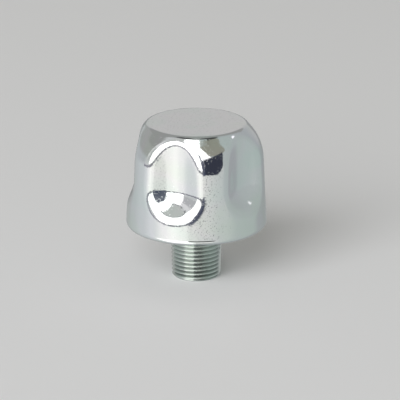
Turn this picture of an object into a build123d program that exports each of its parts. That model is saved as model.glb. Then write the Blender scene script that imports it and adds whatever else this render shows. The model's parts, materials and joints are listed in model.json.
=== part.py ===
from build123d import *
import os

# Threaded filler breather for a hydraulic reservoir, all sizes in millimetres.
#
# A drawn sheet-steel cap with five pressed finger flutes closes over a pressed base plate. A turned
# nipple with a tapered pipe thread is staked into the plate and screws into the reservoir. Air enters
# between the cap's turned-in lip and the plate, passes inwards through a ring of pleated paper, and
# leaves through the nipple. The frame's origin is the centre of the nipple's end, with Z up.

os.makedirs("parts", exist_ok=True)

# Nipple: 3/8-18 tapered pipe thread below, flange and staked spigot above
thread_radius = 8.5725
thread_taper = 1 / 32
taper_length = 12.25
thread_chamfer = 0.75
nipple_bore_radius = 5.75
bore_chamfer = 0.5
nipple_flange_radius = 11.5
nipple_flange_thickness = 1.6
flange_chamfer = 0.3
spigot_radius = 7.1
stake_radius = 8.3
stake_height = 0.9
nipple_reach = 17.75

# Cap: drawn cup with five flutes pressed into its shoulder and wall
cap_sheet = 0.8
cap_height = 36.25
crown_radius = 16.7
crown_corner = 1.0
shoulder_radius = 22.3
shoulder_drop = 6.7
shoulder_corner = 11.0
rim_radius = 23.8
rim_corner = 1.2
lip_width = 3.8

# Finger flutes, pressed by a round-ended punch that stands beside the cup; their edges are drawn soft
flute_count = 5
flute_valley_radius = 18.5
flute_punch_radius = 14.5
flute_punch_corner = 9.0
flute_floor_drop = 27.2
flute_edge_radius = 5.0
first_flute_angle = -90

# Base plate: pressed disc with a raised middle and air gaps round its edge
plate_sheet = 1.2
plate_clearance = 0.24
plate_rise = 1.2
plate_rise_margin = 0.2
plate_ramp = 1.2
plate_bend = 0.5
spigot_clearance = 0.1
air_gap_count = 5
air_gap_depth = 3.1
air_gap_angle = 40

# Filter element: pleated paper ring round a perforated tube, potted into two pressed end caps
gasket_clearance = 0.7
gasket_outer_radius = 13.0
gasket_thickness = 1.5
end_cap_sheet = 0.4
end_cap_radius = 14.8
end_cap_bore_radius = 6.9
end_cap_flange = 3.4
potting_thickness = 1.0
media_length = 21.0
media_clearance = 0.9
pleat_count = 32
paper_thickness = 0.5
core_sheet = 0.5
core_seat_clearance = 0.7
core_clearance = 0.2
core_hole_radius = 1.4
core_hole_columns = 6
core_hole_rows = 4
clip_sheet = 0.25
clip_leg = 2.2
clip_width = 2.4
clip_clearance = 0.1

# Leaf spring: three bowed arms on a hub, which hold the element down on its gasket
spring_sheet = 0.5
spring_arm_count = 3
spring_arm_width = 6.0
spring_hub_radius = 5.0
spring_reach = 13.0
spring_tip = 2.0
spring_bend = 4.0
spring_clearance = 0.15

# Splash baffle: pressed cover on three legs over the nipple's bore
baffle_sheet = 0.5
baffle_radius = 4.6
baffle_height = 5.0
baffle_leg_count = 3
baffle_leg_width = 2.4
baffle_clearance = 0.3

# Heights of the seats, from the nipple's end upwards
rim_z = nipple_reach
crown_z = rim_z + cap_height
shoulder_z = crown_z - shoulder_drop
plate_z = rim_z + cap_sheet
flange_z = plate_z + plate_rise
plate_top_z = flange_z + plate_sheet
stake_z = plate_top_z + stake_height
lower_cap_z = plate_top_z + gasket_thickness
lower_potting_z = lower_cap_z + end_cap_sheet
media_z = lower_potting_z + potting_thickness
upper_potting_z = media_z + media_length
upper_cap_z = upper_potting_z + potting_thickness
upper_cap_top_z = upper_cap_z + end_cap_sheet
crown_underside_z = crown_z - cap_sheet
overshoot = 1.0

# Radii that follow from the pieces they fit
lip_inner_radius = rim_radius - lip_width
flute_punch_offset = flute_valley_radius + flute_punch_radius
plate_radius = rim_radius - rim_corner - plate_clearance
plate_hole_radius = spigot_radius + spigot_clearance
gasket_inner_radius = stake_radius + gasket_clearance
plate_rise_radius = gasket_outer_radius + plate_rise_margin
channel_outer_radius = end_cap_radius - end_cap_sheet
channel_inner_radius = end_cap_bore_radius + end_cap_sheet
core_radius = channel_inner_radius + core_seat_clearance + core_sheet
media_inner_radius = core_radius + core_clearance
media_outer_radius = channel_outer_radius - media_clearance
baffle_leg_radius = end_cap_bore_radius - baffle_clearance


def write(piece, name):
    """Label a finished piece and write it as its own STEP file."""
    piece.part.label = name
    export_step(piece.part, f"parts/{name}.step")


def flute_punch(inset):
    """A round-ended punch, grown by inset so that the sheet it presses keeps its thickness."""
    with BuildPart() as punch:
        with BuildSketch(Plane.XZ):
            with BuildLine():
                FilletPolyline(
                    (0, crown_z - flute_floor_drop - inset),
                    (flute_punch_radius + inset, crown_z - flute_floor_drop - inset),
                    (flute_punch_radius + inset, crown_z + overshoot),
                    (0, crown_z + overshoot),
                    radius=[flute_punch_corner + inset, overshoot / 2],
                )
                Line((0, crown_z + overshoot), (0, crown_z - flute_floor_drop - inset))
            make_face()
        revolve(axis=Axis.Z)
    return punch.part


def fluted_cup(inset):
    """The cap's outer form as a solid, or the form of its inside when inset is the sheet's thickness."""
    with BuildPart() as cup:
        with BuildSketch(Plane.YZ):
            with BuildLine():
                FilletPolyline(
                    (0, crown_z),
                    (crown_radius, crown_z),
                    (shoulder_radius, shoulder_z),
                    (rim_radius, rim_z),
                    (0, rim_z),
                    radius=[crown_corner, shoulder_corner, rim_corner],
                )
                Line((0, rim_z), (0, crown_z))
            make_face()
            mirror(about=Plane.YZ)
            offset(amount=-inset)
            split(bisect_by=Plane.YZ)
        revolve(axis=Axis.Z)
        with PolarLocations(flute_punch_offset, flute_count, start_angle=first_flute_angle):
            add(flute_punch(inset), mode=Mode.SUBTRACT)
        fillet(cup.edges(Select.LAST), radius=flute_edge_radius - inset)
    return cup.part


# Cap: one drawn sheet, so its inside is its outside moved in by the sheet's thickness
with BuildPart() as cap:
    add(fluted_cup(0))
    add(fluted_cup(cap_sheet), mode=Mode.SUBTRACT)
    with BuildSketch(Plane.XY.offset(rim_z)):
        Circle(lip_inner_radius)
    extrude(amount=cap_sheet, mode=Mode.SUBTRACT)
write(cap, "cap")

# Base plate: it lies on the turned-in lip, and air passes through the gaps round its edge
with BuildPart() as base_plate:
    with BuildSketch(Plane.XZ) as plate_profile:
        with BuildLine():
            Polyline(
                (plate_hole_radius, flange_z),
                (plate_rise_radius, flange_z),
                (plate_rise_radius + plate_ramp, plate_z),
                (plate_radius, plate_z),
                (plate_radius, plate_z + plate_sheet),
                (plate_rise_radius + plate_ramp + plate_bend, plate_z + plate_sheet),
                (plate_rise_radius + plate_bend, plate_top_z),
                (plate_hole_radius, plate_top_z),
                close=True,
            )
        make_face()
    revolve(axis=Axis.Z)
    with BuildSketch(Plane.XY.offset(plate_z)):
        with PolarLocations(0, air_gap_count, start_angle=first_flute_angle):
            SlotArc(
                CenterArc((0, 0), plate_radius, -air_gap_angle / 2, air_gap_angle),
                height=2 * air_gap_depth,
            )
    extrude(amount=plate_sheet, mode=Mode.SUBTRACT)
write(base_plate, "base_plate")

# Nipple: turned with its bore right through, then staked over the plate
with BuildPart() as nipple:
    thread_end_radius = thread_radius - taper_length * thread_taper
    with BuildSketch(Plane.XZ):
        with BuildLine():
            Polyline(
                (nipple_bore_radius + bore_chamfer, 0),
                (thread_end_radius - thread_chamfer, 0),
                (thread_end_radius + thread_chamfer * thread_taper, thread_chamfer),
                (thread_radius, taper_length),
                (thread_radius, flange_z - nipple_flange_thickness),
                (nipple_flange_radius - flange_chamfer, flange_z - nipple_flange_thickness),
                (nipple_flange_radius, flange_z - nipple_flange_thickness + flange_chamfer),
                (nipple_flange_radius, flange_z),
                (spigot_radius, flange_z),
                (spigot_radius, plate_top_z),
                (stake_radius, plate_top_z),
                (spigot_radius, stake_z),
                (nipple_bore_radius, stake_z),
                (nipple_bore_radius, bore_chamfer),
                close=True,
            )
        make_face()
    revolve(axis=Axis.Z)
write(nipple, "nipple")

# Lower gasket: rubber washer between the plate and the element
with BuildPart() as lower_gasket:
    with BuildSketch(Plane.XY.offset(plate_top_z)):
        Circle(gasket_outer_radius)
        Circle(gasket_inner_radius, mode=Mode.SUBTRACT)
    extrude(amount=gasket_thickness)
write(lower_gasket, "lower_gasket")

# Lower end cap: pressed channel with a bore for the air
with BuildPart() as lower_end_cap:
    with BuildSketch(Plane.XY.offset(lower_cap_z)):
        Circle(end_cap_radius)
        Circle(end_cap_bore_radius, mode=Mode.SUBTRACT)
    extrude(amount=end_cap_flange)
    with BuildSketch(Plane.XY.offset(lower_potting_z)):
        Circle(channel_outer_radius)
        Circle(channel_inner_radius, mode=Mode.SUBTRACT)
    extrude(amount=end_cap_flange, mode=Mode.SUBTRACT)
write(lower_end_cap, "lower_end_cap")

# Lower potting: the cast bead that bonds paper and core to the channel's floor
with BuildPart() as lower_potting:
    with BuildSketch(Plane.XY.offset(lower_potting_z)):
        Circle(channel_outer_radius)
        Circle(channel_inner_radius, mode=Mode.SUBTRACT)
    extrude(amount=potting_thickness)
write(lower_potting, "lower_potting")

# Filter media: one strip of paper folded to and fro into a ring
def pleat_line():
    """The folded strip's middle line, a zigzag between two circles, as a flat face inside that line."""
    half = paper_thickness / 2
    fold_radii = [media_outer_radius - half, media_inner_radius + half]
    folds = [
        Vector(fold_radii[fold % 2], 0).rotate(Axis.Z, first_flute_angle + fold * 180 / pleat_count)
        for fold in range(2 * pleat_count)
    ]
    with BuildSketch(Plane.XY.offset(media_z)) as folded:
        with BuildLine():
            Polyline(*folds, close=True)
        make_face()
    return folded.sketch


with BuildPart() as filter_media:
    offset(pleat_line(), amount=paper_thickness / 2)
    extrude(amount=media_length)
    offset(pleat_line(), amount=-paper_thickness / 2)
    extrude(amount=media_length, mode=Mode.SUBTRACT)
write(filter_media, "filter_media")

# Seam clip: metal strip bent over one outer fold, where the two ends of the paper meet
clip_inside = paper_thickness / 2 + clip_clearance
clip_reach = media_outer_radius + clip_clearance + clip_sheet
with BuildPart() as seam_clip:
    offset(pleat_line(), amount=clip_inside + clip_sheet)
    extrude(amount=media_length)
    offset(pleat_line(), amount=clip_inside)
    extrude(amount=media_length, mode=Mode.SUBTRACT)
    with BuildSketch(Plane.XY.offset(media_z)):
        with Locations((0, clip_leg / 2 - clip_reach)):
            Rectangle(clip_width, clip_leg)
    extrude(amount=media_length, mode=Mode.INTERSECT)
write(seam_clip, "seam_clip")

# Element core: perforated tube that keeps the pleats from folding inwards
with BuildPart() as element_core:
    with BuildSketch(Plane.XY.offset(media_z)):
        Circle(core_radius)
        Circle(core_radius - core_sheet, mode=Mode.SUBTRACT)
    extrude(amount=media_length)
    for row in range(core_hole_rows):
        hole_z = media_z + media_length * (row + 0.5) / core_hole_rows
        for column in range(core_hole_columns):
            outwards = Vector(1, 0, 0).rotate(Axis.Z, 360 * (column + row / 2) / core_hole_columns)
            with BuildSketch(Plane(origin=(0, 0, hole_z), x_dir=(0, 0, 1), z_dir=outwards)):
                Circle(core_hole_radius)
            extrude(amount=media_inner_radius, mode=Mode.SUBTRACT)
write(element_core, "element_core")

# Upper potting
with BuildPart() as upper_potting:
    with BuildSketch(Plane.XY.offset(upper_potting_z)):
        Circle(channel_outer_radius)
        Circle(channel_inner_radius, mode=Mode.SUBTRACT)
    extrude(amount=potting_thickness)
write(upper_potting, "upper_potting")

# Upper end cap: pressed lid that closes the element's hollow
with BuildPart() as upper_end_cap:
    with BuildSketch(Plane.XY.offset(upper_cap_top_z)):
        Circle(end_cap_radius)
    extrude(amount=-end_cap_flange)
    with BuildSketch(Plane.XY.offset(upper_cap_z)):
        Circle(channel_outer_radius)
    extrude(amount=-end_cap_flange, mode=Mode.SUBTRACT)
write(upper_end_cap, "upper_end_cap")

# Element spring: a hub on the lid, and arms that bow up to the crown
spring_foot_z = upper_cap_top_z + spring_sheet / 2
spring_tip_z = crown_underside_z - spring_clearance - spring_sheet / 2
with BuildPart() as element_spring:
    with BuildSketch(Plane.XY.offset(upper_cap_top_z)):
        Circle(spring_hub_radius)
    extrude(amount=spring_sheet)
    for arm in range(spring_arm_count):
        with BuildSketch(Plane.XZ.rotated((0, 0, arm * 360 / spring_arm_count))):
            with BuildLine():
                FilletPolyline(
                    (0, spring_foot_z),
                    (spring_hub_radius, spring_foot_z),
                    (spring_reach - spring_tip, spring_tip_z),
                    (spring_reach, spring_tip_z),
                    radius=[spring_bend, spring_tip],
                )
            trace(line_width=spring_sheet)
        extrude(amount=spring_arm_width / 2, both=True)
write(element_spring, "element_spring")

# Splash baffle: a cover on three bent legs that stand on the staked end
with BuildPart() as splash_baffle:
    baffle_top_z = stake_z + baffle_height
    with BuildSketch(Plane.XY.offset(baffle_top_z)):
        Circle(baffle_radius)
        with PolarLocations(0, baffle_leg_count):
            with Locations((baffle_leg_radius / 2, 0)):
                Rectangle(baffle_leg_radius, baffle_leg_width)
    extrude(amount=-baffle_sheet)
    with BuildSketch(Plane.XY.offset(stake_z)):
        with PolarLocations(baffle_leg_radius - baffle_sheet / 2, baffle_leg_count):
            Rectangle(baffle_sheet, baffle_leg_width)
    extrude(amount=baffle_height)
write(splash_baffle, "splash_baffle")
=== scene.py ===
import bpy
import json
import math
import numpy as np
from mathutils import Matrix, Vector

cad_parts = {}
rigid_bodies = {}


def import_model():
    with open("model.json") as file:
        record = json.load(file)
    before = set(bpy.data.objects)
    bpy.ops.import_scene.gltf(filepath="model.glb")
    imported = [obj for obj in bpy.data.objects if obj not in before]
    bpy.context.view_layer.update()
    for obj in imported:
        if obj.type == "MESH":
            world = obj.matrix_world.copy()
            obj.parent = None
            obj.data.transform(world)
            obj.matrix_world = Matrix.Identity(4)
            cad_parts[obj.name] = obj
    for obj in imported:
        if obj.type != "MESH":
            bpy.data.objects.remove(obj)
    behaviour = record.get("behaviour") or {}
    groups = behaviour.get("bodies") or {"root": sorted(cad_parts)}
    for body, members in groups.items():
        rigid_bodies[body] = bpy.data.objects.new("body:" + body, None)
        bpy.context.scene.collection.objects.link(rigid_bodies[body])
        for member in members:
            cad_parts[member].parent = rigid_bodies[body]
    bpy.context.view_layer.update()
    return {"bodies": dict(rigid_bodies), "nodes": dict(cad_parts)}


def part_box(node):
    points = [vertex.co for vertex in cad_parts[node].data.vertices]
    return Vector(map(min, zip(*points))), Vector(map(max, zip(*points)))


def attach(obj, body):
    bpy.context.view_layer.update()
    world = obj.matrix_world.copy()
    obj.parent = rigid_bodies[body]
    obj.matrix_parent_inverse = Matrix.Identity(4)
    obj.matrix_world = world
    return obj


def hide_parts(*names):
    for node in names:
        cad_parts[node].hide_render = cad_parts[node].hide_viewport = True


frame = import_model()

# %% [markdown]
# # A filler breather for a hydraulic tank, dressed for its portrait
#
# The object is a bright-plated steel cap, pressed with five finger flutes, over a turned nipple with a
# tapered pipe thread. The hidden pieces (plate, gasket, pleated paper element, spring and splash cover)
# come from the CAD frame. This lesson keeps each of them where the frame has it and gives it a finish.
# Two pieces are made again as finer surfaces of the same form: the cap, because a mirror-like skin
# shows every facet, and the nipple, because its thread is left to this script.

# %% The frame and its box
millimetre = 0.001
root_body = sorted(frame["bodies"])[0]

# %% [markdown]
# ## Camera
#
# A long lens from a little above keeps the upright lines nearly parallel, as a catalogue portrait does.
# The camera is placed by two angles and a distance from the middle of the crown, and the aim is moved
# a little so that the object stands right in the frame. A shifted aim is simpler than a lens shift.

# %% Where the camera stands
crown_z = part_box("cap")[1].z
camera_azimuth = math.radians(20.73)
camera_elevation = math.radians(18.31)
camera_distance = 1.510
aim_right = 1.21 * millimetre
aim_down = 26.15 * millimetre


def towards_camera(azimuth, elevation):
    """Unit vector from the object: azimuth turns from -Y towards +X, elevation rises from the floor."""
    flat = math.cos(elevation)
    return Vector((math.sin(azimuth) * flat, -math.cos(azimuth) * flat, math.sin(elevation)))


# %% Camera
camera_data = bpy.data.cameras.new("portrait_lens")
camera_data.sensor_width = 36
camera_data.lens = 405
camera_data.clip_start = 0.05
camera_data.clip_end = 50
camera = bpy.data.objects.new("portrait_camera", camera_data)
bpy.context.scene.collection.objects.link(camera)
outwards = towards_camera(camera_azimuth, camera_elevation)
rightwards = Vector((math.cos(camera_azimuth), math.sin(camera_azimuth), 0))
upwards = outwards.cross(rightwards)
aim = Vector((0, 0, crown_z)) + rightwards * aim_right - upwards * aim_down
camera.location = aim + outwards * camera_distance
camera.rotation_mode = "QUATERNION"
camera.rotation_quaternion = outwards.to_track_quat("Z", "Y")
bpy.context.scene.camera = camera
bpy.context.scene.view_settings.view_transform = "Standard"
print("camera at", tuple(round(v, 4) for v in camera.location))

# %% [markdown]
# ## A helper for surfaces
#
# Every new piece is a grid of points, worked out as whole arrays: one direction runs round the axis,
# the other along the outline. `skin` turns such a grid into a closed surface of quads.

# %% Grid helper


def skin(name, x, y, z, pole_start=False, pole_end=False, loop=False):
    """Mesh from arrays of shape (rows, columns): the columns close on themselves round the axis.
    A pole adds one point at the mean of the first or last row, and a fan of triangles to it. A loop
    joins the last row to the first, as on a ring."""
    rows, columns = x.shape
    points = np.stack([x, y, z], axis=-1).reshape(-1, 3)
    row, column = np.meshgrid(np.arange(rows if loop else rows - 1), np.arange(columns), indexing="ij")
    after = (column + 1) % columns
    here = row * columns
    there = (row + 1) % rows * columns
    quads = np.stack([here + column, here + after, there + after, there + column], axis=-1)
    faces = quads.reshape(-1, 4).tolist()
    ring = np.arange(columns)
    following = (ring + 1) % columns
    last = (rows - 1) * columns
    if pole_start:
        points = np.vstack([points, points[:columns].mean(axis=0)])
        fan = np.stack([following, ring, np.full(columns, len(points) - 1)], axis=-1)
        faces += fan.tolist()
    if pole_end:
        points = np.vstack([points, points[last : last + columns].mean(axis=0)])
        fan = np.stack([last + ring, last + following, np.full(columns, len(points) - 1)], axis=-1)
        faces += fan.tolist()
    mesh = bpy.data.meshes.new(name)
    mesh.from_pydata(points, [], faces)
    mesh.update()
    mesh.polygons.foreach_set("use_smooth", np.ones(len(mesh.polygons), bool))
    made = bpy.data.objects.new(name, mesh)
    bpy.context.scene.collection.objects.link(made)
    print(name, len(points), "points", len(faces), "faces")
    return made


# %% [markdown]
# ## Cap
#
# The real cap is one sheet of steel, drawn to a cup and then pressed with five round-nosed punches
# that stand beside it. It could be cut with booleans, but a boolean leaves long thin faces that a
# bright finish would show. Here it is a height field on a cylinder: the plain cup gives a radius at
# each point of its outline, the punch gives another, and a soft minimum rounds the edge between them.

# %% Sizes of the plain cup, in millimetres
cap_top = crown_z
cap_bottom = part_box("cap")[0].z
cap_height = (cap_top - cap_bottom) / millimetre
cap_sheet = 0.8
crown_radius = 16.85
crown_corner = 2.0
shoulder_radius = 22.4
shoulder_drop = 6.7
shoulder_corner = 16.0
rim_radius = 23.8
rim_corner = 2.0
lip_inner_radius = 20.0
first_ring_radius = 0.3
print("cap height", round(cap_height, 2), "mm")

# %% Outline helper
least_arc_points = 3
arc_points_per_step = 1.5
arc_points_per_radian = 8


def run_shares(start, end, step):
    """Shares along a straight run, about one step apart, from just after its start up to its end."""
    count = max(1, int(np.linalg.norm(end - start) / step))
    return np.linspace(0, 1, count + 1)[1:, None]


def rounded_outline(corners, radii, step):
    """Points along a path of straight runs whose inner corners are arcs. An arc touches both of its
    runs, and starts before the corner by its radius times the tangent of half the turn."""
    corners = np.array(corners, float)
    runs = np.diff(corners, axis=0)
    ahead = runs / np.linalg.norm(runs, axis=1)[:, None]
    pieces = [corners[:1]]
    for at, radius in enumerate(radii):
        into, out = ahead[at], ahead[at + 1]
        turn = math.atan2(into[0] * out[1] - into[1] * out[0], into @ out)
        setback = radius * math.tan(abs(turn) / 2)
        start = corners[at + 1] - into * setback
        side = np.array([-into[1], into[0]]) * math.copysign(1, turn)
        centre = start + side * radius
        spoke = start - centre
        along_arc = int(abs(turn) * radius / step * arc_points_per_step)
        count = max(least_arc_points, along_arc, int(abs(turn) * arc_points_per_radian))
        swing = np.linspace(0, turn, count + 1)
        cosine, sine = np.cos(swing), np.sin(swing)
        arc = np.stack([spoke[0] * cosine - spoke[1] * sine, spoke[0] * sine + spoke[1] * cosine], axis=-1)
        before = pieces[-1][-1]
        pieces += [before + (start - before) * run_shares(before, start, step)[:-1], centre + arc]
    before = pieces[-1][-1]
    pieces.append(before + (corners[-1] - before) * run_shares(before, corners[-1], step))
    return np.vstack(pieces)


# %% [markdown]
# ### Flutes
#
# A flute is a grip for one finger. The punch leaves a valley that runs out below the crown, two soft
# edges and a rounded lower end. A bevel on a cut edge would have one width all along, but a pressed
# sheet stays stiff near the crown and gives way lower down, so the softness of the edge is worked out
# here as a size of its own, which grows with the depth below the crown.

# %% Sizes of the flutes, in millimetres
flute_count = 5
flute_valley = 18.5
flute_punch_radius = 14.5
flute_straight_drop = 18.2
flute_punch_corner = 9.0
flute_softness = 4.4
flute_softness_fade = 11.0
flute_margin = 6.0
first_flute = -math.pi / 2
no_punch_here = 99.0

# %% Limits of the search for the surface
newton_steps = 6
longest_newton_step = 2.0
least_slope = 0.15
least_fade = 0.01
hardly_anything = 1e-9


def fluted_radius(plain_radius, depth, angle, upright):
    """Radius of the pressed cup on a spoke. Two distances are kept: how far a point lies inside the
    plain cup, and how far it lies outside the punch, which is a cylinder beside the cup with a
    rounded lower end. Their soft minimum takes h h h k / 6 away, where h falls from one to nothing as
    they part by k. The surface is where it is nought, and a few Newton steps find it. The softness k
    grows from nothing at the crown, ever more slowly, so that the crown's edge stays round."""
    spacing = 2 * math.pi / flute_count
    turn = np.mod(angle - first_flute + spacing / 2, spacing) - spacing / 2
    below = np.maximum(depth - flute_straight_drop, 0)
    axis = flute_valley + flute_punch_radius
    core = flute_punch_radius - flute_punch_corner
    side = axis * np.sin(turn)
    ahead = axis * np.cos(turn)
    reach = core + np.sqrt(np.maximum(flute_punch_corner**2 - below**2, 0))
    chord = np.where(below < flute_punch_corner, reach**2 - side**2, -1)
    face = np.where(chord > 0, ahead - np.sqrt(np.maximum(chord, 0)), no_punch_here)
    radius = np.minimum(plain_radius, face)
    fade = 1 - (1 - np.clip(depth / flute_softness_fade, least_fade, 1)) ** 2
    softness = flute_softness * fade
    for _ in range(newton_steps):
        inside = (plain_radius - radius) * upright
        away = np.sqrt(radius**2 - 2 * radius * ahead + axis**2)
        over_core = np.maximum(away - core, 0)
        from_nose = np.sqrt(over_core**2 + below**2) + hardly_anything
        outside = from_nose - flute_punch_corner
        slope = over_core / from_nose * (radius - ahead) / away
        h = np.clip(softness - np.abs(inside - outside), 0, None) / softness
        soft = np.minimum(inside, outside) - h**3 * softness / 6
        share = np.where(inside < outside, h * h / 2, 1 - h * h / 2)
        steepness = np.minimum(share * slope - (1 - share) * upright, -least_slope)
        step = np.clip(soft / steepness, -longest_newton_step, longest_newton_step)
        radius = np.minimum(radius - step, plain_radius)
    reached = depth < flute_straight_drop + flute_punch_corner + flute_margin
    return np.where(reached, radius, plain_radius)


# %% Outer skin of the cap
outline_step = 0.45
cap_columns = 480
least_upright = 0.05
cup_corners = [
    (first_ring_radius, 0),
    (crown_radius, 0),
    (shoulder_radius, shoulder_drop),
    (rim_radius, cap_height),
    (lip_inner_radius, cap_height),
]
outline = rounded_outline(cup_corners, [crown_corner, shoulder_corner, rim_corner], outline_step)
angle = np.linspace(0, 2 * math.pi, cap_columns, endpoint=False)[None, :]
plain_radius = outline[:, :1]
depth = outline[:, 1:]
slant = np.gradient(outline, axis=0)
upright = np.clip(np.abs(slant[:, 1]) / np.linalg.norm(slant, axis=1), least_upright, 1)[:, None]
radius = fluted_radius(plain_radius, depth, angle, upright)
outer = np.stack([radius * np.cos(angle), radius * np.sin(angle), -depth + 0 * angle], axis=-1)
middle_row = radius[len(outline) // 2]
print("cap rows", len(outline), "valley radius", round(float(middle_row.min()), 2), "mm")

# %% [markdown]
# The inner skin lies one sheet's thickness inside the outer one, along its normals: that is what a
# press does to sheet. A Solidify modifier would do the same, but the inside is seen by nobody, so here
# it takes only every third row. The edge of the lip is cut square, so its normal points straight down.

# %% Both skins of the cap
inner_thinning = 3
along = np.gradient(outer, axis=0)
around = (np.roll(outer, -1, axis=1) - np.roll(outer, 1, axis=1)) / 2
normal = np.cross(along, around)
normal /= np.linalg.norm(normal, axis=-1, keepdims=True)
normal[-1] = (0, 0, -1)
inner = outer - normal * cap_sheet
whole = np.concatenate([outer, inner[::-inner_thinning]], axis=0) * millimetre
cap = skin("cap_shell", whole[..., 0], whole[..., 1], whole[..., 2] + cap_top, pole_start=True, pole_end=True)
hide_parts("cap")
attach(cap, root_body)

# %% [markdown]
# ## Nipple
#
# The real nipple is turned and threaded from bar. The thread is a taper pipe thread of 18 turns to the
# inch, so its crests lie on the frame's cone and its roots are cut below it. A swept helix would need
# a boolean with the bar. A height field does without: the phase of the cut depends on the height minus
# the share of a turn.

# %% Sizes of the thread, in millimetres
thread_pitch = 25.4 / 18
thread_depth = 1.05
thread_radius = 8.5725
thread_taper = 1 / 32
taper_length = 12.25
thread_top = 14.6
thread_chamfer = 0.75
lead_in_length = 0.9
run_out_length = 1.2
vee_share, vee_gain, vee_flat = 0.55, 1.2, 0.1
wave_share, wave_gain, wave_flat = 0.45, 1.12, 0.06
nipple_low, nipple_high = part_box("nipple")
print("nipple height in the frame", round((nipple_high.z - nipple_low.z) / millimetre, 2), "mm")


def thread_cut(height, angle):
    """Depth of the thread below the crest cone, as a mix of a V and a wave. Both follow height / pitch
    - angle / turn, a gain and a flat clip them at crest and root, and the cut fades out at both ends
    of the threaded length."""
    phase = np.mod(height / thread_pitch - angle / (2 * math.pi), 1)
    valley = 1 - np.abs(2 * phase - 1)
    wave = 0.5 - 0.5 * np.cos(math.pi * np.clip(valley * wave_gain - wave_flat, 0, 1))
    shape = vee_share * np.clip(valley * vee_gain - vee_flat, 0, 1) + wave_share * wave
    fade = np.clip(height / lead_in_length, 0, 1) * np.clip((thread_top - height) / run_out_length, 0, 1)
    return thread_depth * shape * fade


# %% Threaded length
rows_per_pitch = 20
nipple_columns = 288
end_face_margin = 0.05
thread_rows = np.arange(0, thread_top, thread_pitch / rows_per_pitch)[:, None]
angle = np.linspace(0, 2 * math.pi, nipple_columns, endpoint=False)[None, :]
crest = thread_radius - np.clip(taper_length - thread_rows, 0, None) * thread_taper
chamfer = np.clip(thread_chamfer - thread_rows, 0, None)
cut = thread_cut(thread_rows, angle)
threaded = np.minimum(crest - chamfer, crest - cut)
print("thread rows", len(thread_rows), "deepest cut", round(float(cut.max()), 3), "mm")

# %% Sizes above the thread, in millimetres
bore_radius = 5.75
bore_chamfer = 0.5
flange_radius = 11.5
flange_chamfer = 0.3
flange_low = 17.35
flange_high = 18.95
spigot_radius = 7.1
stake_radius = 8.3
plate_top = 20.15
stake_top = 21.05


def creased(corners, crease=0.02):
    """The same straight runs, with one more point just before and just after each corner, so that
    smooth shading leaves the corner crisp."""
    corners = np.array(corners, float)
    runs = np.diff(corners, axis=0)
    ahead = runs / np.linalg.norm(runs, axis=1)[:, None]
    trio = [corners[1:-1] - ahead[:-1] * crease, corners[1:-1], corners[1:-1] + ahead[1:] * crease]
    return np.vstack([corners[:1], np.stack(trio, axis=1).reshape(-1, 2), corners[-1:]])


# %% Whole nipple: end face, thread, flange, staked spigot and bore
end_face = np.array([[bore_radius + bore_chamfer, 0], [threaded[0].mean() - end_face_margin, 0]])
upper = creased(
    [
        (thread_radius, thread_top),
        (thread_radius, flange_low),
        (flange_radius - flange_chamfer, flange_low),
        (flange_radius, flange_low + flange_chamfer),
        (flange_radius, flange_high),
        (spigot_radius, flange_high),
        (spigot_radius, plate_top),
        (stake_radius, plate_top),
        (spigot_radius, stake_top),
        (bore_radius, stake_top),
        (bore_radius, bore_chamfer),
    ]
)
ones = np.ones((1, nipple_columns))
radius = np.concatenate([end_face[:, :1] * ones, threaded, upper[:, :1] * ones])
height = np.concatenate([end_face[:, 1:] * ones, thread_rows * ones, upper[:, 1:] * ones])
x = radius * np.cos(angle) * millimetre
y = radius * np.sin(angle) * millimetre
nipple = skin("nipple_turned", x, y, height * millimetre, loop=True)
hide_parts("nipple")
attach(nipple, root_body)

# %% [markdown]
# ## Finishes
#
# A finish is a small graph of nodes. The patterns read Object coordinates, so that they stay on the
# piece when it is seen from another side.

# %% Finish helpers


def finish_graph(name, roughness, metallic=0.0):
    """New material: returns it with its nodes, its links and its Principled shader."""
    material = bpy.data.materials.new(name)
    material.use_nodes = True
    nodes = material.node_tree.nodes
    shader = nodes["Principled BSDF"]
    shader.inputs["Roughness"].default_value = roughness
    shader.inputs["Metallic"].default_value = metallic
    print("finish", name)
    return material, nodes, material.node_tree.links, shader


def noise(nodes, links, scale, detail=2.0):
    """Noise texture on Object coordinates; the scale is in waves per metre."""
    place = nodes.new("ShaderNodeTexCoord")
    texture = nodes.new("ShaderNodeTexNoise")
    texture.inputs["Scale"].default_value = scale
    texture.inputs["Detail"].default_value = detail
    links.new(place.outputs["Object"], texture.inputs["Vector"])
    return texture.outputs["Fac"]


def bumped(nodes, links, shader, height, distance):
    """Bump from a height output; distance is the height of one unit, in metres."""
    bump = nodes.new("ShaderNodeBump")
    bump.inputs["Distance"].default_value = distance
    bump.inputs["Strength"].default_value = 1.0
    links.new(height, bump.inputs["Height"])
    links.new(bump.outputs["Normal"], shader.inputs["Normal"])


def tinted(nodes, links, shader, factor, stops):
    """Colour ramp from a factor to the shader's base colour; stops are (place, colour)."""
    ramp = nodes.new("ShaderNodeValToRGB")
    elements = ramp.color_ramp.elements
    for place, colour in stops[1:-1]:
        elements.new(place)
    for element, (place, colour) in zip(elements, stops):
        element.position = place
        element.color = (*colour, 1)
    links.new(factor, ramp.inputs["Fac"])
    links.new(ramp.outputs["Color"], shader.inputs["Base Color"])


# %% [markdown]
# ### Bright zinc
#
# Zinc plating on drawn sheet is nearly a mirror, with a faint change of tint and an orange-peel ripple
# that breaks up the edge of what it mirrors. Here and there it has a pit. A painted bump map could
# show them, but two noises need no file: one ripples everywhere, and of the other only the highest
# tips are kept and turned into pits.

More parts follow.
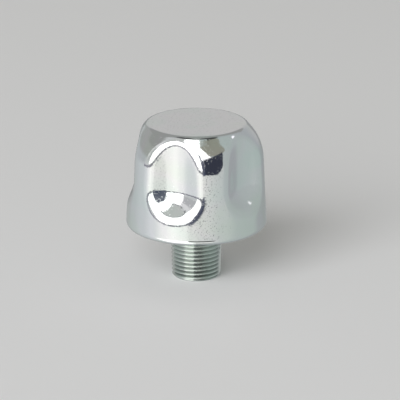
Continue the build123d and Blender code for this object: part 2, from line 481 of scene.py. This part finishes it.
# %% Bright zinc
bright_zinc, nodes, links, shader = finish_graph("bright_zinc", roughness=0.06, metallic=1.0)
zinc_tints = [(0.35, (0.80, 0.83, 0.80)), (0.5, (0.83, 0.82, 0.84)), (0.65, (0.79, 0.83, 0.82))]
tinted(nodes, links, shader, noise(nodes, links, scale=60), zinc_tints)
ripple = noise(nodes, links, scale=1500, detail=3.0)
pits = noise(nodes, links, scale=2600, detail=0.0)
only_pits = nodes.new("ShaderNodeMapRange")
only_pits.inputs["From Min"].default_value = 0.71
only_pits.inputs["From Max"].default_value = 0.82
only_pits.inputs["To Max"].default_value = -1.2
links.new(pits, only_pits.inputs["Value"])
relief = nodes.new("ShaderNodeMath")
links.new(ripple, relief.inputs[0])
links.new(only_pits.outputs["Result"], relief.inputs[1])
bumped(nodes, links, shader, relief.outputs["Value"], distance=0.000012)

# %% [markdown]
# ### Zinc on turned steel
#
# On the nipple the same plating is duller, because the tool leaves its marks. Its colour is darker than
# the cap's, a painted shade for the shaded floor close by that it mirrors, and darker still in the roots
# of the thread, a painted shade where little light gets in. Ambient occlusion would find the roots too,
# but their distance from the axis is simpler, and it stays the same from every side.

# %% Zinc on turned steel
darkest_depth = 1.3
brightest_depth = 0.2
turned_zinc, nodes, links, shader = finish_graph("turned_zinc", roughness=0.11, metallic=1.0)
place = nodes.new("ShaderNodeTexCoord")
flattened = nodes.new("ShaderNodeVectorMath")
flattened.operation = "MULTIPLY"
flattened.inputs[1].default_value = (1, 1, 0)
links.new(place.outputs["Object"], flattened.inputs[0])
from_axis = nodes.new("ShaderNodeVectorMath")
from_axis.operation = "LENGTH"
links.new(flattened.outputs["Vector"], from_axis.inputs[0])
# Painted shade: the colour darkens from the crests down into the roots of the thread.
painted_shade_root_to_crest = nodes.new("ShaderNodeMapRange")
painted_shade_root_to_crest.inputs["From Min"].default_value = (thread_radius - darkest_depth) * millimetre
painted_shade_root_to_crest.inputs["From Max"].default_value = (thread_radius - brightest_depth) * millimetre
links.new(from_axis.outputs["Value"], painted_shade_root_to_crest.inputs["Value"])
# Tints from painted shade in the roots up to the crests, all darker than the cap's zinc as painted shade too.
thread_painted_shade_tints = [(0.0, (0.32, 0.35, 0.33)), (0.4, (0.57, 0.61, 0.58)), (0.8, (0.71, 0.75, 0.72))]
tinted(nodes, links, shader, painted_shade_root_to_crest.outputs["Result"], thread_painted_shade_tints)
bumped(nodes, links, shader, noise(nodes, links, scale=2500, detail=3.0), distance=0.000004)

# %% [markdown]
# ### Inside metals, paper, rubber and resin
#
# The pieces inside are tinned or spring steel, oiled paper, nitrile rubber and a cast resin. None of
# them is a mirror, so one helper does for all: a slow noise mottles the colour between a dark and a
# light one, and a fine noise gives the grain.

# %% Mottled finishes


def mottled(name, roughness, dark, light, scales, details, grain_height, metallic=0.0):
    """Finish with a mottled colour and a grain. Scales and details are those of the two noises: first
    the mottle's, then the grain's. The grain's height is in metres."""
    material, nodes, links, shader = finish_graph(name, roughness, metallic)
    tinted(nodes, links, shader, noise(nodes, links, scales[0], details[0]), [(0.3, dark), (0.7, light)])
    bumped(nodes, links, shader, noise(nodes, links, scales[1], details[1]), grain_height)
    return material


steel = {"scales": (120, 1800), "details": (2.0, 3.0), "grain_height": 0.000004, "metallic": 1.0}
tinned_steel = mottled("tinned_steel", 0.3, (0.70, 0.70, 0.69), (0.78, 0.78, 0.77), **steel)
spring_steel = mottled("spring_steel", 0.35, (0.42, 0.42, 0.44), (0.50, 0.50, 0.52), **steel)
filter_paper = mottled(
    "filter_paper",
    roughness=0.9,
    dark=(0.72, 0.62, 0.40),
    light=(0.84, 0.77, 0.56),
    scales=(400, 3000),
    details=(4.0, 4.0),
    grain_height=0.00003,
)
nitrile_rubber = mottled(
    "nitrile_rubber",
    roughness=0.6,
    dark=(0.012, 0.012, 0.013),
    light=(0.03, 0.03, 0.03),
    scales=(300, 2500),
    details=(4.0, 4.0),
    grain_height=0.00001,
)
potting_resin = mottled(
    "potting_resin",
    roughness=0.4,
    dark=(0.48, 0.43, 0.31),
    light=(0.58, 0.53, 0.41),
    scales=(200, 900),
    details=(4.0, 4.0),
    grain_height=0.00001,
)

# %% [markdown]
# ### Where each finish goes
#
# A piece from the CAD frame keeps its mesh and only changes its finish. The frame's own cap and nipple
# get theirs too, and the two new surfaces that stand for them get the same.

# %% Which finish goes on which piece
finishes = {
    "base_plate": bright_zinc,
    "lower_gasket": nitrile_rubber,
    "lower_end_cap": tinned_steel,
    "lower_potting": potting_resin,
    "filter_media": filter_paper,
    "seam_clip": tinned_steel,
    "element_core": tinned_steel,
    "upper_potting": potting_resin,
    "upper_end_cap": tinned_steel,
    "element_spring": spring_steel,
    "splash_baffle": tinned_steel,
    "cap": bright_zinc,
    "nipple": turned_zinc,
}
for name, material in finishes.items():
    mesh = frame["nodes"][name].data
    mesh.materials.clear()
    mesh.materials.append(material)
cap.data.materials.append(bright_zinc)
nipple.data.materials.append(turned_zinc)
print("finishes on", len(finishes), "frame pieces")

# %% [markdown]
# ## Floor
#
# The floor is one pale sheet of paper. It takes the light and the shadows, but the bright skin of the
# cap mirrors the studio instead of it, so the floor is hidden from mirror rays. The paper's colour holds
# a painted pool of light: a ramp along the floor makes it a little brighter at the front left, towards
# the soft light, without one more lamp.

# %% Floor
floor_half = 6.0
floor_mesh = bpy.data.meshes.new("floor_sheet")
corners = np.array([(-1, -1, 0), (1, -1, 0), (1, 1, 0), (-1, 1, 0)], float) * floor_half
floor_mesh.from_pydata(corners.tolist(), [], [(0, 1, 2, 3)])
floor = bpy.data.objects.new("floor_sheet", floor_mesh)
bpy.context.scene.collection.objects.link(floor)
floor.visible_glossy = False
print("floor", 2 * floor_half, "m square")

# %% Floor paper
# Painted light: the paper's grey is lighter towards the soft light's side and darker away from it.
bright_side = towards_camera(camera_azimuth - math.radians(24), 0)
ramp_half = 0.5
floor_paper, nodes, links, shader = finish_graph("floor_paper", roughness=0.9)
shader.inputs["Specular IOR Level"].default_value = 0.0
place = nodes.new("ShaderNodeTexCoord")
nearness = nodes.new("ShaderNodeVectorMath")
nearness.operation = "DOT_PRODUCT"
nearness.inputs[1].default_value = bright_side
links.new(place.outputs["Object"], nearness.inputs[0])
far_to_near = nodes.new("ShaderNodeMapRange")
far_to_near.inputs["From Min"].default_value = -ramp_half
far_to_near.inputs["From Max"].default_value = ramp_half
links.new(nearness.outputs["Value"], far_to_near.inputs["Value"])
paper_painted_light_greys = [(0.0, (0.68, 0.68, 0.67)), (1.0, (0.91, 0.91, 0.91))]
tinted(nodes, links, shader, far_to_near.outputs["Result"], paper_painted_light_greys)
floor.data.materials.append(floor_paper)

# %% [markdown]
# ## Studio
#
# A mirror-like skin is drawn by what stands round it, so the world is the studio: a pale floor that
# brightens towards the light, a large white softbox to the left of the camera, a dark opening to its
# right where the room is unlit, grey walls and a grey ceiling. Each of them is a soft-edged patch in
# azimuth and elevation, where azimuth is counted from the camera and to the right. Real sheets and
# boxes would do too, but they would have to stand clear of one another and of the camera. Matt things
# see a simpler and softer version, which sets the weight of the shadow.

# %% World
world = bpy.data.worlds.new("studio")
bpy.context.scene.world = world
world.use_nodes = True
tree = world.node_tree
background = tree.nodes["Background"]


def plug(value, socket):
    """Links an output, or sets a number or a colour, on an input socket."""
    if isinstance(value, bpy.types.NodeSocket):
        tree.links.new(value, socket)
    elif isinstance(value, tuple):
        socket.default_value = (*value, 1)
    else:
        socket.default_value = value


def maths(operation, first, second=0.0):
    """One Math node of the world."""
    node = tree.nodes.new("ShaderNodeMath")
    node.operation = operation
    plug(first, node.inputs[0])
    plug(second, node.inputs[1])
    return node.outputs[0]


# %% Directions round the studio
place = tree.nodes.new("ShaderNodeTexCoord")
turned = tree.nodes.new("ShaderNodeVectorRotate")
turned.rotation_type = "Z_AXIS"
turned.inputs["Angle"].default_value = -camera_azimuth
tree.links.new(place.outputs["Generated"], turned.inputs["Vector"])
axes = tree.nodes.new("ShaderNodeSeparateXYZ")
tree.links.new(turned.outputs["Vector"], axes.inputs["Vector"])
in_degrees = 180 / math.pi
forwards = maths("MULTIPLY", axes.outputs["Y"], -1.0)
azimuth = maths("MULTIPLY", maths("ARCTAN2", axes.outputs["X"], forwards), in_degrees)
elevation = maths("MULTIPLY", maths("ARCSINE", axes.outputs["Z"]), in_degrees)

# %% Patch helpers


def soft_step(value, low, high):
    """Rises smoothly from nought at low to one at high, or falls when low is above high."""
    node = tree.nodes.new("ShaderNodeMapRange")
    node.interpolation_type = "SMOOTHSTEP"
    plug(value, node.inputs["Value"])
    node.inputs["From Min"].default_value = min(low, high)
    node.inputs["From Max"].default_value = max(low, high)
    node.inputs["To Min"].default_value = float(low > high)
    node.inputs["To Max"].default_value = float(low < high)
    return node.outputs["Result"]


def between(value, level, low, high, softness):
    """Mask that is one where the value is above low and the level is below high."""
    half = softness / 2
    rising = soft_step(value, low - half, low + half)
    falling = soft_step(level, high + half, high - half)
    return maths("MULTIPLY", rising, falling)


def panel(azimuths, elevations, softness, slant=0.0):
    """Mask of a soft-edged patch, the product of four soft steps. With a slant, its upper edge rises
    by that much for each degree to the right, and its height is meant for azimuth nought."""
    level = maths("SUBTRACT", elevation, maths("MULTIPLY", azimuth, slant)) if slant else elevation
    sides = between(azimuth, azimuth, *azimuths, softness)
    ends = between(elevation, level, *elevations, softness)
    return maths("MULTIPLY", sides, ends)


def over(below, mask, colour):
    """Colour laid over what is below, by the mask. In a Mix node of colours, input 0 is the factor,
    inputs 6 and 7 are the two colours, and output 2 is their mix."""
    node = tree.nodes.new("ShaderNodeMix")
    node.data_type = "RGBA"
    plug(mask, node.inputs[0])
    plug(below, node.inputs[6])
    plug(colour, node.inputs[7])
    return node.outputs[2]


def lay(below, patches):
    """Lays patches over what is below, in their order. A patch is its azimuths, its elevations, the
    softness of its edges, all in degrees, its colour, and the slant of its upper edge if it has one."""
    for azimuths, elevations, softness, colour, *slant in patches:
        below = over(below, panel(azimuths, elevations, softness, *slant), colour)
    print("patches laid", len(patches))
    return below


brightest_stop = 2.0


def round_the_room(stops):
    """Colour that changes with azimuth: stops are (degrees, red, green, blue). A ramp holds colours up
    to one only, so they are divided by the brightest before it and multiplied again after it."""
    ramp = tree.nodes.new("ShaderNodeValToRGB")
    ramp.color_ramp.interpolation = "EASE"
    elements = ramp.color_ramp.elements
    for stop in stops[1:-1]:
        elements.new((stop[0] + 180) / 360)
    for element, (degrees_round, *colour) in zip(elements, stops):
        element.position = (degrees_round + 180) / 360
        element.color = (*(channel / brightest_stop for channel in colour), 1)
    tree.links.new(maths("DIVIDE", maths("ADD", azimuth, 180.0), 360.0), ramp.inputs["Fac"])
    scaled = tree.nodes.new("ShaderNodeVectorMath")
    scaled.operation = "SCALE"
    scaled.inputs["Scale"].default_value = brightest_stop
    tree.links.new(ramp.outputs["Color"], scaled.inputs[0])
    return scaled.outputs["Vector"]


# %% [markdown]
# ### Floor, walls and ceiling
#
# The floor that the cap mirrors is brightest left of the camera, in front of the softbox, and falls off
# towards the back. The walls are greyer and change less. The ceiling is one grey. A gradient texture
# can't have so many stops round a circle, so each is a ramp on the azimuth.

# %% Floor in the mirror
floor_glow = round_the_room(
    [
        (-180, 0.38, 0.40, 0.40),
        (-152, 0.45, 0.47, 0.47),
        (-130, 0.52, 0.56, 0.56),
        (-100, 0.62, 0.66, 0.665),
        (-75, 0.77, 0.80, 0.81),
        (-55, 1.01, 1.02, 1.00),
        (-38, 1.14, 1.16, 1.10),
        (-20, 1.05, 1.06, 1.01),
        (-8, 0.86, 0.87, 0.83),
        (10, 0.74, 0.76, 0.73),
        (45, 0.585, 0.63, 0.61),
        (75, 0.475, 0.53, 0.52),
        (105, 0.455, 0.51, 0.50),
        (126, 0.385, 0.41, 0.42),
        (150, 0.36, 0.38, 0.385),
        (180, 0.38, 0.40, 0.40),
    ]
)

# %% Walls and ceiling in the mirror
wall_glow = round_the_room(
    [
        (-180, 0.56, 0.56, 0.55),
        (-130, 0.49, 0.52, 0.53),
        (-100, 0.47, 0.50, 0.51),
        (-85, 0.60, 0.62, 0.62),
        (60, 0.47, 0.52, 0.51),
        (90, 0.45, 0.50, 0.49),
        (130, 0.42, 0.45, 0.46),
        (180, 0.56, 0.56, 0.55),
    ]
)
floor_end = (-10.0, 0.0)
wall_end = (64.0, 70.0)
ceiling_grey = (0.46, 0.475, 0.46)
mirrored = over(floor_glow, soft_step(elevation, *floor_end), wall_glow)
mirrored = over(mirrored, soft_step(elevation, *wall_end), ceiling_grey)

# %% Darker wall at the back left and right, the floor's far edge, and the wall over the opening
back_wall_grey = (0.33, 0.34, 0.33)
mirrored = lay(
    mirrored,
    [
        ((-160, -86), (8, 66), 6, (0.39, 0.40, 0.39)),
        ((-182, -90), (27, 80), 4, back_wall_grey),
        ((128, 182), (27, 80), 4, back_wall_grey),
        ((-44, -14), (-8.5, -5.0), 1.0, (0.18, 0.18, 0.21)),
        ((-95, -44), (-8.5, -5.0), 1.0, (0.26, 0.26, 0.30)),
        ((10, 66), (34, 61), 3, (0.31, 0.31, 0.26)),
    ],
)

# %% [markdown]
# ### Softbox and dark opening
#
# The softbox stands left of the camera and leans over the cap, so the flute and the shoulder mirror it
# twice. A grey screen and its dark frame stand beside it. Right of the camera is a door into an unlit
# room, with a pale doorstep. Their edges are what the eye reads as the roundness of the metal.

# %% Softbox
softbox_white = (1.9, 1.9, 1.87)
mirrored = lay(
    mirrored,
    [
        ((-61, 20), (-3.5, 46), 3, softbox_white),
        ((-37, 10), (40, 66), 3, softbox_white),
        ((6, 32), (22, 71.5), 4, softbox_white, -1.4),
    ],
)

# %% Screen and frame beside the softbox
mirrored = lay(
    mirrored,
    [
        ((-88, -61), (9, 43), 5, (0.78, 0.79, 0.79)),
        ((-79, -63), (3, 26), 4, (0.50, 0.51, 0.52)),
        ((-70, -36), (37, 46), 2.5, (0.22, 0.23, 0.24)),
        ((-70, -38), (40.5, 66), 2.5, (0.56, 0.58, 0.56)),
    ],
)

# %% Dark opening and its doorstep
unlit = (0.04, 0.045, 0.065)
mirrored = lay(
    mirrored,
    [
        ((-13, 57), (-10, 8), 2, unlit),
        ((4, 56), (-10, 24.5), 3, unlit, 0.25),
        ((-14, 4), (-11, 22), 3, (0.07, 0.08, 0.12)),
        ((-14, -4), (-11, 32), 3, (0.12, 0.13, 0.17)),
        ((28, 62), (-11, -31.5), 2, (0.58, 0.62, 0.60), 0.62),
    ],
)

# %% [markdown]
# ### What the low and the flat faces mirror
#
# The crown's rounded edge looks up at two dark strips of the ceiling. The thread's flanks and the
# underside of the rim look down at the floor close by, which mirror rays don't see, so it is painted into
# the studio: two bright patches are painted light where the softbox lights the floor, and two dark ones
# are the painted shadow of the cap on the floor, with a painted reflection of the nipple beneath the rim.
# The back of the room is dull, and one small lamp high on the right gives the two sparks.

# %% Strips of the ceiling
mirrored = lay(
    mirrored,
    [
        ((-150, 130), (67, 84), 3, (0.10, 0.10, 0.10)),
        ((36, 84), (60, 70), 2, (0.04, 0.04, 0.04)),
    ],
)

# %% Painted light and painted shadow on the floor close by
# Painted light for the lit floor in the first two patches; painted shadow of the cap, and the nipple's
# painted reflection, in the last two.
mirrored = lay(
    mirrored,
    [
        ((-10, 34), (-64, -24), 8, (0.95, 0.96, 0.93)),
        ((-72, -4), (-64, -23), 10, (1.55, 1.56, 1.52)),
        ((-14, 32), (-40, -19.5), 3, (0.14, 0.14, 0.14)),
        ((-10, 50), (-88, -68), 5, (0.20, 0.20, 0.20)),
    ],
)

# %% Back of the room and the lamp
back_grey = (0.32, 0.33, 0.33)
mirrored = lay(
    mirrored,
    [
        ((-182, -158), (-14, 9), 4, back_grey),
        ((158, 182), (-14, 9), 4, back_grey),
        ((97, 104), (34, 40), 3, (1.3, 1.3, 1.35)),
    ],
)

# %% [markdown]
# ### Light on matt things
#
# The floor's paper and the rubber mirror nothing, so they only need the sum of the light: a grey room
# and one soft window where the softbox is. Its size and height set how soft the shadow is and how far
# it reaches. A Light Path node tells the two apart: a glossy ray sees the mirrored studio, any other
# ray the soft light.

# %% Soft light, and both joined
room_grey = (0.34, 0.34, 0.325)
window_white = (5.6, 5.6, 5.75)
soft_light = over(room_grey, panel((-52, 2), (8, 46), 10), window_white)
rays = tree.nodes.new("ShaderNodeLightPath")
shown = over(soft_light, rays.outputs["Is Glossy Ray"], mirrored)
tree.links.new(shown, background.inputs["Color"])
background.inputs["Strength"].default_value = 1.0
print("studio nodes", len(tree.nodes))
